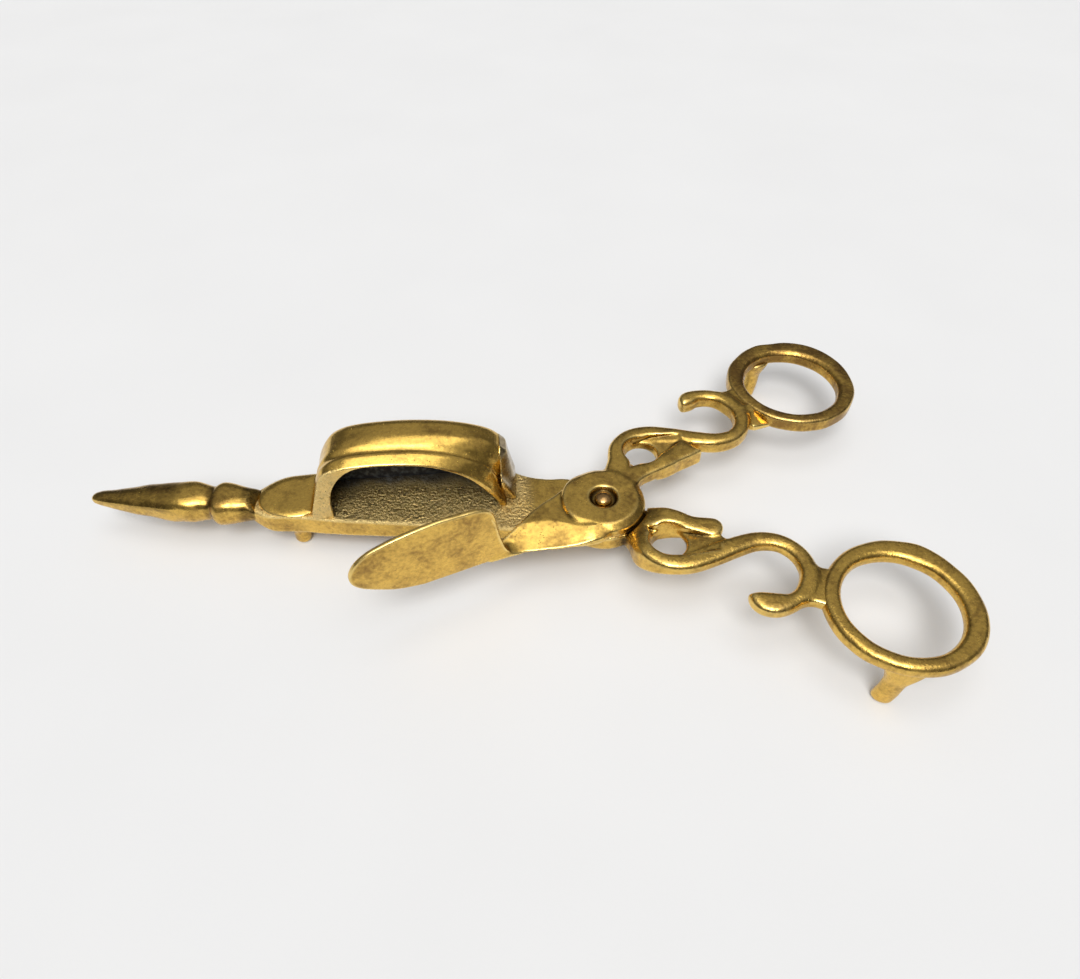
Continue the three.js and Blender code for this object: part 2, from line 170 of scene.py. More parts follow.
def surface(field, low, step):
    """Vertices and quads of the zero surface of a field, by surface nets."""
    inside = field < 0
    corners = [(i, j, k) for i in (0, 1) for j in (0, 1) for k in (0, 1)]
    core = tuple(n - 1 for n in field.shape)
    count = np.zeros(core, np.int8)
    for i, j, k in corners:
        count += inside[i:i + core[0], j:j + core[1], k:k + core[2]]
    cells = np.argwhere((count > 0) & (count < 8))
    number = np.full(core, -1, np.int64)
    number[tuple(cells.T)] = np.arange(len(cells))
    total = np.zeros((len(cells), 3))
    hits = np.zeros(len(cells))
    for corner in corners:
        for axis in range(3):
            if corner[axis]:
                continue
            unit = np.eye(3, dtype=int)[axis]
            a = field[tuple((cells + corner).T)]
            b = field[tuple((cells + corner + unit).T)]
            crossing = (a < 0) != (b < 0)
            t = np.where(crossing, a / np.where(crossing, a - b, 1), 0)
            total += (cells + corner + t[:, None] * unit) * crossing[:, None]
            hits += crossing
    points = np.array(low) + step * total / hits[:, None]
    quads = []
    for axis in range(3):
        u = np.eye(3, dtype=int)[(axis + 1) % 3]
        v = np.eye(3, dtype=int)[(axis + 2) % 3]
        here = [slice(1, -1)] * 3
        here[axis] = slice(0, -1)
        there = list(here)
        there[axis] = slice(1, None)
        first = inside[tuple(here)]
        change = first != inside[tuple(there)]
        p = np.argwhere(change) + np.where(np.arange(3) == axis, 0, 1)
        four = np.stack([number[tuple((p - shift).T)] for shift in (u + v, v, 0 * u, u)], axis=1)
        outward = first[change]
        four[~outward] = four[~outward][:, ::-1]
        quads.append(four)
    return points, np.concatenate(quads)


# ---- Meshes ------------------------------------------------------------------------

def neighbours_mean(points, faces):
    total = np.zeros_like(points)
    hits = np.zeros(len(points))
    for a, b in ((0, 1), (1, 2), (2, 3), (3, 0)):
        np.add.at(total, faces[:, a], points[faces[:, b]])
        np.add.at(total, faces[:, b], points[faces[:, a]])
        np.add.at(hits, faces[:, a], 1)
        np.add.at(hits, faces[:, b], 1)
    return total / hits[:, None]


def vertex_normals(points, faces):
    one = points[faces[:, 2]] - points[faces[:, 0]]
    two = points[faces[:, 3]] - points[faces[:, 1]]
    across = np.cross(one, two)
    total = np.zeros_like(points)
    for i in range(4):
        np.add.at(total, faces[:, i], across)
    return total / np.maximum(np.linalg.norm(total, axis=1), 1e-12)[:, None]


def edge_wear_and_crease_shade(points, faces):
    """How sharply the surface turns at each vertex: positive on outer edges, negative in creases. The brass
    brightens the outer edges as wear and darkens the creases as painted shade.
    """
    normals = vertex_normals(points, faces)
    smooth = points
    for _ in range(3):
        smooth = neighbours_mean(smooth, faces)
    height = np.einsum("ij,ij->i", points - smooth, normals)
    for _ in range(2):
        stacked = np.repeat(height[:, None], 3, axis=1)
        height = neighbours_mean(stacked, faces)[:, 0]
    return height


def make_piece(name, points, faces, body, nodes, material, masks=None):
    """A piece from points in the tool's frame and quads, that stands for the given CAD nodes."""
    mesh = bpy.data.meshes.new(name)
    world = points * MM + ORIGIN
    mesh.from_pydata(world.tolist(), [], faces.tolist())
    mesh.validate()
    mesh.polygons.foreach_set("use_smooth", [True] * len(mesh.polygons))
    values = {"wear_and_shade": edge_wear_and_crease_shade(points, faces)}
    values.update(masks or {})
    for key, data in values.items():
        layer = mesh.attributes.new(key, "FLOAT", "POINT")
        layer.data.foreach_set("value", np.asarray(data, np.float32))
    mesh.materials.append(material)
    piece = bpy.data.objects.new(name, mesh)
    bpy.context.scene.collection.objects.link(piece)
    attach(piece, body)
    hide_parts(*nodes)
    return piece


def relax(points, faces, rounds=2, amount=0.4):
    """Evens out the steps that the grid leaves."""
    for _ in range(rounds):
        points = points + amount * (neighbours_mean(points, faces) - points)
    return points


# ---- Materials ---------------------------------------------------------------------

class Shader:
    """A node material in the making. Places are in millimetres, in the tool's resting position."""

    def __init__(self, name):
        self.material = bpy.data.materials.new(name)
        self.material.use_nodes = True
        self.tree = self.material.node_tree
        self.surface = self.tree.nodes["Principled BSDF"]
        place = self.tree.nodes.new("ShaderNodeTexCoord").outputs["Object"]
        self.place = self.scaled(place, (1 / MM,) * 3)

    def feed(self, socket, value):
        if isinstance(value, bpy.types.NodeSocket):
            self.tree.links.new(value, socket)
        else:
            socket.default_value = value

    def node(self, kind, inputs, output=0, **settings):
        node = self.tree.nodes.new(kind)
        for key, value in settings.items():
            setattr(node, key, value)
        for key, value in inputs.items():
            self.feed(node.inputs[key], value)
        return node.outputs[output]

    def scaled(self, place, factors):
        return self.node("ShaderNodeMapping", {"Vector": place, "Scale": factors}, vector_type="POINT")

    def math(self, operation, a, b=0.0):
        return self.node("ShaderNodeMath", {0: a, 1: b}, operation=operation)

    def between(self, value, low, high, out_low=0.0, out_high=1.0):
        """value taken from low..high to out_low..out_high, easing at both ends."""
        inputs = {"Value": value, "From Min": low, "From Max": high, "To Min": out_low, "To Max": out_high}
        return self.node("ShaderNodeMapRange", inputs, interpolation_type="SMOOTHSTEP")

    def mix(self, factor, a, b):
        return self.node("ShaderNodeMix", {0: factor, 6: a, 7: b}, output=2, data_type="RGBA")

    def noise(self, scale, detail=3.0, roughness=0.55, stretch=(1, 1, 1), warp=0.0):
        inputs = {"Scale": scale, "Detail": detail, "Roughness": roughness, "Distortion": warp}
        inputs["Vector"] = self.scaled(self.place, stretch) if stretch != (1, 1, 1) else self.place
        return self.node("ShaderNodeTexNoise", inputs)

    def specks(self, scale, size):
        """1 in the middle of scattered small spots, 0 between them."""
        near = self.node("ShaderNodeTexVoronoi", {"Vector": self.place, "Scale": scale})
        return self.between(near, 0.0, size, 1.0, 0.0)

    def mask(self, name):
        return self.node("ShaderNodeAttribute", {}, output="Fac", attribute_name=name)

    def bump(self, height, depth_mm, under=None):
        inputs = {"Height": height, "Distance": depth_mm * MM}
        if under is not None:
            inputs["Normal"] = under
        return self.node("ShaderNodeBump", inputs)

    def finish(self, colour, roughness, normal, metallic=1.0):
        self.feed(self.surface.inputs["Base Color"], colour)
        self.feed(self.surface.inputs["Roughness"], roughness)
        self.feed(self.surface.inputs["Normal"], normal)
        self.feed(self.surface.inputs["Metallic"], metallic)
        return self.material


# Colours of the metal and of what lies on it
FRESH = (0.82, 0.53, 0.12, 1)
WORN = (0.95, 0.71, 0.26, 1)
PATINA = (0.29, 0.165, 0.045, 1)
# Near-black brown, used for real dirt in pits and sand and also for painted shade in creases, corners and
# recesses
GRIME_AND_SHADE = (0.045, 0.026, 0.010, 1)
SOOT = (0.018, 0.019, 0.022, 1)
ASH = (0.12, 0.135, 0.145, 1)
SAND = (0.95, 0.73, 0.33, 1)
SOLDER_FRESH, SOLDER_PATINA = (0.46, 0.37, 0.22, 1), (0.19, 0.13, 0.07, 1)
RIVET_FRESH, RIVET_PATINA = (0.60, 0.36, 0.14, 1), (0.25, 0.13, 0.05, 1)


# Depths of the brass's relief in millimetres
CAST_DEPTH = 0.05
SKIN_DEPTH = 0.011
SCRATCH_DEPTH = 0.006
PIT_DEPTH = 0.12
GRIT_DEPTH = 0.22
FILE_DEPTH = 0.05


def brass(name, fresh=FRESH, patina=PATINA, tarnish=0.5, gloss=(0.17, 0.33), cast=1.0, scratch=1.0,
          pits=0.5, file_marks=False):
    """Old cast brass: patches of patina, brighter worn edges, painted shade in the creases and wherever the
    mesh's shade mask is set, and a skin that goes from hand-polished to sandy where the mesh's own masks say
    so. tarnish, cast, scratch and pits are amounts, gloss is the range of roughness, and file marks run up
    the walls."""
    s = Shader(name)
    wear_and_shade = s.mask("wear_and_shade")
    sand = s.mask("sand")
    soot = s.mask("soot")
    painted_shade = s.mask("painted_shade")
    edge = s.between(wear_and_shade, 0.008, 0.05)
    crease = s.between(wear_and_shade, -0.006, -0.045)

    patches = s.noise(0.16, 4.0, 0.6, warp=0.6)
    mottle = s.noise(1.1, 4.0, 0.62)
    blotch = s.math("ADD", s.math("MULTIPLY", patches, 0.6), s.math("MULTIPLY", mottle, 0.4))
    aged = s.between(blotch, 0.55 - 0.3 * tarnish, 0.86 - 0.3 * tarnish)
    colour = s.mix(aged, fresh, patina)
    grain = s.between(s.noise(1.5, 3.0, 0.6), 0.36, 0.7, 0.0, 0.28)
    colour = s.mix(grain, colour, patina)
    colour = s.mix(s.math("MULTIPLY", edge, 0.75), colour, WORN)
    # Painted shade: the creases are darkened towards a near-black brown
    colour = s.mix(s.math("MULTIPLY", crease, 0.85), colour, GRIME_AND_SHADE)

    hollow = s.specks(1.5, 0.16)
    sparse = s.between(s.noise(0.33, 2.0), 0.56 - 0.12 * pits, 0.62 - 0.12 * pits)
    pit = s.math("MULTIPLY", hollow, sparse)
    sandy = s.noise(1.9, 5.0, 0.72)
    grit = s.node("ShaderNodeTexVoronoi", {"Vector": s.place, "Scale": 1.7}, feature="SMOOTH_F1")
    gritty = s.math("MULTIPLY", s.math("SUBTRACT", s.math("MULTIPLY", sandy, 1.6), grit), sand)
    colour = s.mix(s.math("MULTIPLY", sand, 0.6), colour, SAND)
    dirt = s.math("MULTIPLY", s.between(sandy, 0.46, 0.36), s.math("MULTIPLY", sand, 0.42))
    colour = s.mix(dirt, colour, GRIME_AND_SHADE)
    colour = s.mix(s.math("MULTIPLY", pit, 0.75), colour, GRIME_AND_SHADE)
    ashes = s.mix(s.between(s.noise(0.7, 4.0, 0.65), 0.46, 0.66, 0.0, 0.8), SOOT, ASH)
    streaks = s.noise(1.0, 4.0, 0.65, stretch=(0.7, 2.6, 2.6), warp=0.4)
    # Painted shade where the mesh's shade mask is set: corners, the rivet's bowl, round the boss and on the
    # finial, broken into streaks
    streaked_shade = s.math("MULTIPLY", painted_shade, s.between(streaks, 0.32, 0.62, 1.0, 0.55))
    colour = s.mix(streaked_shade, colour, GRIME_AND_SHADE)
    colour = s.mix(soot, colour, ashes)

    rough = s.between(s.noise(0.45, 4.0, 0.6), 0.3, 0.7, gloss[0], gloss[1])
    rough = s.math("ADD", rough, s.math("MULTIPLY", aged, 0.05))
    rough = s.math("ADD", rough, s.math("MULTIPLY", sand, 0.09))
    rough = s.math("MAXIMUM", rough, s.math("MULTIPLY", soot, 0.78))

    lines = s.noise(1.0, 3.0, 0.6, stretch=(0.5, 7.0, 2.0))
    crossing = s.noise(1.0, 3.0, 0.6, stretch=(5.0, 0.6, 2.0))
    skin = s.noise(1.9, 4.0, 0.55)
    normal = s.bump(s.noise(0.35, 2.0), CAST_DEPTH * cast)
    normal = s.bump(skin, SKIN_DEPTH * cast, normal)
    normal = s.bump(s.math("ADD", lines, crossing), SCRATCH_DEPTH * scratch, normal)
    normal = s.bump(s.math("MULTIPLY", pit, -1.0), PIT_DEPTH, normal)
    normal = s.bump(gritty, GRIT_DEPTH, normal)
    if file_marks:
        normal = s.bump(s.noise(1.0, 2.0, 0.5, stretch=(2.2, 2.2, 0.12)), FILE_DEPTH, normal)
    metal = s.math("SUBTRACT", 1.0, s.math("MULTIPLY", soot, 0.85))
    return s.finish(colour, rough, normal, metal)


# ---- Places: frames that the shapes are drawn in -------------------------------------

def turned_frame(x, y, start, degrees):
    """Coordinates along and across a line that leaves start at an angle."""
    c, s = math.cos(math.radians(degrees)), math.sin(math.radians(degrees))
    dx, dy = x - start[0], y - start[1]
    return dx * c + dy * s, dy * c - dx * s


def turned_back(points, start, degrees):
    c, s = math.cos(math.radians(degrees)), math.sin(math.radians(degrees))
    along, across, z = points.T
    return np.stack([start[0] + along * c - across * s, start[1] + along * s + across * c, z], axis=1)


# ---- Handles -------------------------------------------------------------------------
# A handle's own frame has u from the rivet to the bow and v outwards.

HANDLE_ANGLE = 32.2
BOW_DISTANCE = 60.1
BOW_INNER = 11.0
BOSS_RADIUS = 8.75
BOX_SIDE, BLADE_SIDE = -1, 1
BOX_THICKNESS, BLADE_THICKNESS = 2.8, 3.6
BOX_SHIFT, BLADE_SHIFT = -0.4, 0.8

# Stations of [u, v, half width]
SCROLL = [
    [12.8, 8.8, 2], [16.6, 9.9, 1.9], [20.8, 8.5, 2], [24.8, 4.5, 2.1], [28.4, 0.1, 2.1], [32, -3.2, 1.9],
    [36, -4.5, 1.75], [40.2, -3.1, 1.8], [43, 0.6, 1.8], [43.3, 5, 1.75], [41.6, 8.4, 1.7],
]
BOX_ROOT = [[7, 2.2, 2.7], [10, 5.1, 2.2]]
BOX_HOOK = [[38.6, 10.5, 2.4], [36.4, 10.9, 2.0], [34.1, 10.6, 0.3]]
BOX_SCROLL = BOX_ROOT + SCROLL + BOX_HOOK
BLADE_ROOT = [[7, 2.6, 3], [10.2, 5.6, 2.5]]
BLADE_HOOK = [[38.6, 10.4, 1.8], [36.6, 10.7, 2], [35.2, 10.3, 1.1]]
BLADE_SCROLL = BLADE_ROOT + SCROLL + BLADE_HOOK
WAVY_LEAF = [[6, 0.4, 3.2], [10.5, 0.2, 2.8], [15, -0.9, 2.3], [18.5, -1.1, 1.9], [22.6, -2, 2.3]]
SQUARE_LEAF = [[6, 0.4, 3.2], [10.5, 0.3, 2.2], [15, -0.6, 1.8], [19, -0.9, 2]]

# Outlines in u and v: the flat end of the blade lever's leaf, the facet cut beside it, the thin web
# round the eye, the neck at the bow and the wedge that fills the neck's inner side
SQUARE_END = [
    [16, -2.4], [19.5, -2.9], [23, -3.5], [26.4, -3.9], [25.9, -1.2], [25.2, 1.5], [18.6, 1.2], [16, 1],
]
FACET = [[17, 8.4], [20.5, 7.0], [25.9, 3.1], [25.3, 1.5], [18.4, 1.2], [16, 3]]
WEB = [[9, -1], [25, -1], [28, 1], [22, 7], [15, 9], [10, 7]]
NECK = [[42, -1.2], [44.6, -1.6], [48.4, -2.6], [49, 6.8], [46, 6.9], [43.6, 7.6], [42, 8]]
WEDGE = [[43.5, 0.6], [47.5, 0], [49.8, -6.6], [47.9, -6.5], [43, -5.0], [41.6, -3]]
EYE = (16.0, 4.6)
EYE_RADIUS, EYE_FLARE = 3.4, 0.28

# How far the bars are crowned and rounded, and how far the flats lie under the handle's top
SCROLL_CROWN, SCROLL_ROUNDING = 0.55, 0.8
LEAF_CROWN, LEAF_ROUNDING, LEAF_DROP = 0.35, 0.5, 0.75
WEB_SUNK, WEB_RISE, WEB_START, WEB_SPAN = 1.9, 1.6, 18, 9
FACET_SUNK, FACET_SLOPE, FACET_START = 2.1, 0.21, 17
NECK_SUNK, NECK_ROUNDING = 0.5, 0.6
WEDGE_SUNK, WEDGE_SLOPE = 0.3, 0.36
BOW_LAP = 1.6

# Outer radius of each bow by the angle from its handle's own line, turning left
BOX_RIM = [
    [-118, 14.65], [-80, 14.35], [-47, 14.4], [-11, 15.15], [28, 15.45], [65, 15.75], [86, 16.15],
    [102, 15.8], [131, 14.9], [174, 14.5], [208, 14.6],
]
BLADE_RIM = [
    [-135, 14.4], [-91, 14.6], [-46, 14.75], [-12, 15.4], [10, 15.9], [30, 16.1], [46, 15.75], [61, 15.35],
    [73, 15.55], [90, 15.25], [120, 15.1], [150, 14.8], [190, 14.5],
]


def to_handle(x, y, side, shift=0.0):
    u, v = turned_frame(x, y * side, (0, 0), HANDLE_ANGLE)
    return u, v - shift


def handle(x, y, z, side, shift, scroll_line, leaf_line, leaf_end, low, high):
    """A scrolled shank with its leaf, web, eye and neck, open at the bow's end for the bow itself."""
    u, v = to_handle(x, y, side, shift)
    scroll = bar(u, v, spline(scroll_line))
    crowned = high - SCROLL_CROWN * np.clip(1 + scroll / 1.9, 0, 1) ** 2.2
    field = slab(scroll, z, low, crowned, SCROLL_ROUNDING)
    leaf = bar(u, v, spline(leaf_line, 30))
    if leaf_end:
        leaf = smooth_min(leaf, polygon(u, v, leaf_end), 0.5)
    crowned = high - LEAF_CROWN * np.clip(1 + leaf / 1.8, 0, 1) ** 2
    leaf_low = low - LEAF_DROP * smooth_step(11, 15, u)
    field = smooth_min(field, slab(leaf, z, leaf_low, crowned, LEAF_ROUNDING), 0.3)
    web_top = high - WEB_SUNK + WEB_RISE * np.clip((u - WEB_START) / WEB_SPAN, 0, 1)
    field = smooth_min(field, slab(polygon(u, v, WEB), z, low, web_top, 0.3), 0.6)
    facet_top = high - FACET_SUNK + FACET_SLOPE * np.clip(u - FACET_START, 0, 9)
    above_facet = np.maximum(polygon(u, v, FACET), (facet_top - z) * 0.98)
    field = smooth_max(field, -above_facet, 0.12)
    neck = slab(polygon(u, v, NECK), z, low, high - NECK_SUNK, NECK_ROUNDING)
    field = smooth_min(field, neck, 1.0)
    if side == BLADE_SIDE:
        wedge_top = high - WEDGE_SUNK - WEDGE_SLOPE * np.clip(-v, 0, 8)
        field = smooth_min(field, slab(polygon(u, v, WEDGE), z, low, wedge_top, 0.3), 0.7)
    eye = (np.hypot(u - EYE[0], v - EYE[1]) - EYE_RADIUS - EYE_FLARE * np.clip(z + 3, 0, 3)) / 1.04
    field = smooth_max(field, -eye, 0.35)
    into_bow = BOW_INNER + BOW_LAP - np.hypot(u - BOW_DISTANCE, v + shift)
    return smooth_max(field, into_bow, 0.1)


def bow_field(x, y, z, rim, thickness, rounding, crown, bevel):
    """A finger bow round (0, 0), hand-filed and so not quite round."""
    angle = np.arctan2(y, x)
    radius = np.hypot(x, y) + wobble(x, y, 0, 0.07, 9, 31)
    outer = around(angle, rim)
    flat = np.maximum(BOW_INNER - radius, radius - outer)
    across = np.clip((radius - BOW_INNER) / (outer - BOW_INNER), 0, 1) * 2 - 1
    field = slab(flat, z, -thickness, -0.1 - crown * across ** 2, rounding)
    corner = (bevel - (radius - BOW_INNER) + z) / math.sqrt(2)
    return smooth_max(field, corner, 0.35)


# ---- Castings ------------------------------------------------------------------------

# Outlines in x and y of the pan's near and far edges, and of the blade lever's shank
PAN_FRONT = [
    [-74.4, 8.4], [-73.6, 7.0], [-72, 5.9], [-70.4, 5.1], [-69, 4.7], [-66, 4.4], [-62.9, 3.9],
    [-55.4, 2.2], [-42.3, -0.1], [-30, -2.2], [-20, -4], [-12, -6], [-5, -7.4],
]
PAN_BACK = [
    [-3, 8], [-7.2, 9.1], [-10, 9.3], [-14.3, 10.4], [-17.4, 12.1], [-21, 15], [-30, 16], [-45, 16.2],
    [-61.5, 16.6], [-67, 16.1], [-70.4, 14.6], [-72.4, 13.4], [-73.8, 12.6], [-74.4, 11.4],
]
SHANK_NEAR = [[3.6, -7.6], [-2.5, -9.6], [-9, -10], [-15, -10.1], [-20, -11.1], [-24.2, -12.3]]
SHANK_FAR = [[-24.6, -11.1], [-21.5, -7.6], [-18, -4.6], [-13.7, -0.6], [-9.2, 2.6], [-6, 6]]

# The room that the box lever leaves round the boss as it turns, and the bowl and hole for the rivet
BOSS_ROOM = 0.45
BOWL_RADIUS, BOWL_FLARE, BOWL_DEPTH = 2.5, 0.55, 1.05
RIVET_HOLE = 1.48

# Height and length of the castings' unevenness
HAND_WOBBLE, HAND_WAVE = 0.035, 7


def box_lever_field(x, y, z):
    """The pan, the lug under the boss and the near handle in one casting."""
    u, v = to_handle(x, y, BOX_SIDE)
    outline = np.concatenate([spline(PAN_FRONT, 30), spline(PAN_BACK, 40)])
    pan_low = blend(PAN_FRONT_BOTTOM, PAN_BOTTOM, smooth_step(-62, -18, x))
    pan_low = pan_low + 0.9 * smooth_step(-69, -74, x)
    pan = slab(polygon(x, y, outline), z, pan_low, PAN_TOP, 0.45 + 0.8 * smooth_step(-69, -73, x))
    lug = slab(np.hypot(x, y) - BOSS_RADIUS, z, PAN_BOTTOM, PAN_TOP, 0.4)
    body = smooth_min(pan, lug, 0.8)
    low = blend(PAN_BOTTOM, -BOX_THICKNESS, smooth_step(6, 21, u))
    high = PAN_TOP * (1 - smooth_step(4.5, 13.5, u))
    grip = handle(x, y, z, BOX_SIDE, BOX_SHIFT, BOX_SCROLL, WAVY_LEAF, None, low, high)
    under_boss = slab(np.hypot(x, y) - BOSS_RADIUS - BOSS_ROOM, z, PAN_TOP, 3, 0.3)
    field = smooth_min(body, smooth_max(grip, -under_boss, 0.3), 0.6)
    field = smooth_max(field, -under_boss, 0.05)
    return field + wobble(x, y, z, HAND_WOBBLE, HAND_WAVE, 11)


def blade_lever_field(x, y, z):
    """The boss with its sunk bowl, the shank that holds the plate, and the far handle."""
    u, v = to_handle(x, y, BLADE_SIDE)
    radius = np.hypot(x, y)
    left = smooth_step(-3, -8, x)
    boss = slab(radius - BOSS_RADIUS, z, UPPER_BOTTOM, 0, 0.35)
    boss = smooth_max(boss, (radius - BOSS_RADIUS + 1.2 * z + blend(1.5, 0.5, left)) / 1.56, 0.3)
    near_line = spline(SHANK_NEAR, 24)
    outline = np.concatenate([near_line, spline(SHANK_FAR, 24)])
    flare = 0.25 * smooth_step(-22, -14, x) * smooth_step(1.5, -3, x)
    shank_flat = polygon(x, y, outline) - flare * np.clip(-z, 0, 3)
    from_near = bar(x, y, np.column_stack([near_line, 0 * near_line[:, 0]]))
    away = smooth_step(-2, -13, x)
    fall = np.clip(1 - from_near / blend(2.2, 5.5, away), 0, 1) ** 1.15
    shank_top = -0.12 - 0.6 * left - blend(1.2, 1.7, away) * fall
    shank = slab(shank_flat, z, UPPER_BOTTOM, shank_top, 0.6)
    s, t = turned_frame(x, y, PLATE_START, PLATE_ANGLE)
    sunk = 0.14 - 0.42 * smooth_step(5.6, 9.5, s)
    shoulder = slab(polygon(s, z, SHOULDER), t + 0 * z, -PLATE_THICKNESS - sunk, sunk, 0.25)
    shank = np.maximum(smooth_min(shank, shoulder, 1.3), UPPER_BOTTOM - z)
    body = smooth_min(boss, shank, 0.1)
    low = blend(UPPER_BOTTOM, -BLADE_THICKNESS, smooth_step(14, 17, radius))
    grip = handle(x, y, z, BLADE_SIDE, BLADE_SHIFT, BLADE_SCROLL, SQUARE_LEAF, SQUARE_END, low, -0.05 + 0 * u)
    field = smooth_min(body, grip, 0.7)
    field = smooth_max(field, UPPER_BOTTOM - z - 8 * smooth_step(14, 17, radius), 0.1)
    bowl = (radius - BOWL_RADIUS - BOWL_FLARE * np.clip(z + 1, 0, 1.5)) / 1.1
    sink = np.maximum(bowl, -BOWL_DEPTH - z)
    hole = radius - RIVET_HOLE
    field = smooth_max(field, -sink, 0.15)
    return np.maximum(field, -hole) + wobble(x, y, z, HAND_WOBBLE, HAND_WAVE, 12)


# ---- Snuff box -------------------------------------------------------------------------
# In the mouth's frame, s runs along the mouth, depth runs behind it and z is the height.

MOUTH_START = (-58.39, 2.97)
MOUTH_ANGLE = -0.85
HOOD_DEPTH = 12.1
HOOD_END = 38.9
HOOD_WALL, ROOF_WALL = 1.3, 1.05
RIM_DEPTH, CREASE, BAND_CROWN = 2.7, 3.3, 9.6
RIM_FALL, CREASE_FALL, BACK_FALL = 0.75, 0.36, 0.9
CREASE_HALF = 1.5
HOOD_FOOT = PAN_TOP - 0.08

# Outlines in s and z: the mouth, the rim round it and the taller box behind
MOUTH = [
    [2.8, -6], [2.5, -1], [2.8, 2.4], [4, 6], [6, 8.6], [9, 10.3], [13, 10.75], [18.2, 10.5], [23, 9.65],
    [27.5, 7.95], [31, 5.6], [34, 2.2], [36.4, -1.4], [38, -6],
]
RIM = [
    [-1.9, -3.2], [-1, 2], [0.3, 7.4], [2.4, 10.2], [6, 11.4], [12, 11.8], [18.4, 11.5], [23.6, 10.6],
    [28.4, 8.8], [32, 6.3], [35.2, 2.7], [37.4, -1.1], [38.4, -3.2],
]
BODY = [
    [-1.7, -3.2], [-0.5, 2], [1.1, 7], [3.4, 10.4], [6.2, 12], [9.6, 12.75], [14, 13.05], [20, 12.95],
    [27, 12.1], [32.5, 10.7], [36.4, 8.8], [38.9, 6.3],
]
BOX_BASE = [[HOOD_END, -6], [-2.4, -6]]


def box_flat(s, z):
    return polygon(s, z, np.concatenate([spline(BODY, 70), BOX_BASE]))


def hood_outer(s, d, z):
    """The box's outside: a rim that slopes up from the mouth to a crease, then a taller band."""
    rim_flat = polygon(s, z, np.concatenate([spline(RIM, 70), BOX_BASE]))
    rising = 0.4 * np.clip(d / RIM_DEPTH, 0, 1) + 0.6 * smooth_step(RIM_DEPTH, 7, d)
    flat = blend(rim_flat, box_flat(s, z), rising)
    front = RIM_FALL * np.clip(1 - d / RIM_DEPTH, 0, 1) ** 1.2
    crease = CREASE_FALL * smooth_step(CREASE_HALF, 0, np.abs(d - CREASE))
    back = BACK_FALL * np.maximum((d - BAND_CROWN) / (HOOD_DEPTH - BAND_CROWN), 0) ** 2
    flat = flat + (front + crease + back) * smooth_step(-2, 6, z)
    return smooth_max(smooth_max(flat, -d, 0.3), d - HOOD_DEPTH, 1.0)


def hood_field(s, d, z):
    """The hollow box: its outside less the mouth and the chamber behind it."""
    outer = hood_outer(s, d, z)
    shell = smooth_max(outer, s - HOOD_END, 0.3)
    throat = np.maximum(polygon(s, z, spline(MOUTH, 70)), d - RIM_DEPTH)
    chamber = smooth_max(outer + ROOF_WALL, np.maximum(1.3 - d, d - HOOD_DEPTH + HOOD_WALL), 0.6)
    shell = smooth_max(shell, -smooth_min(throat, chamber, 0.3), 0.2)
    return np.maximum(shell, HOOD_FOOT - z) + wobble(s, d, z, 0.03, 8, 13)


# ---- Trimming plate ----------------------------------------------------------------------

PLATE_START = (-16.38, -9.74)
PLATE_ANGLE = -162.3
PLATE_THICKNESS = 1.3

# Outlines in s and z, with s from the shank to the tip: the plate, and the shoulder that holds it
PLATE = [
    [5.6, 1], [6.2, 6], [7.4, 11.2], [9.6, 12.6], [13.4, 13], [18, 13.2], [23, 12.7], [28, 11.8],
    [31.6, 10.6], [34, 8.6], [35.2, 6.2], [35, 4], [33.4, 1.9], [30.5, 0], [26.9, -1.8], [22, -3],
]
SHOULDER = [[2.5, -3], [4.2, -1.8], [5.2, 0.2], [6.0, 3.4], [6.7, 8.0], [7.9, 11.4], [9.4, 11.6], [9.8, -3]]


def plate_field(s, t, z):
    """A plate that thins to its edge, mostly on the near side."""
    outline = np.concatenate([[[5.6, -3]], spline(PLATE, 90)])
    flat = polygon(s, z, outline)
    rim = np.clip(1 + flat / 3.0, 0, 1) ** 2
    near = -0.18 * rim
    far = -PLATE_THICKNESS + 0.1 * rim
    field = slab(flat, t, far, near, 0.28)
    return field + wobble(s, t, z, 0.02, 8, 14)


# ---- Finial ------------------------------------------------------------------------------
# Stations of [distance from the pan, half width] in the finial's own frame.

FINIAL_START = (-72.9, 9.7)
FINIAL_ANGLE = 170
FINIAL_HEIGHT = -4.6
FINIAL = [
    [-3, 2.9], [-1.0, 3.3], [1.2, 3.5], [3.2, 3.85], [5.2, 4.35], [6.4, 4.5], [7.4, 4.45], [8.2, 4.05],
    [8.7, 3.6], [9.3, 3.5], [10.2, 3.65], [11.6, 4.0], [13.2, 4.3], [15, 4.3], [17, 4.15], [21, 3.65],
    [26.5, 2.8], [31.5, 1.95], [34.4, 1.4], [35.6, 0.95], [36.25, 0.1],
]
FINIAL_ROOT, FINIAL_TIP = -3, 36.25
BEAD_POWER, KEEL_POWER = 2.2, 3


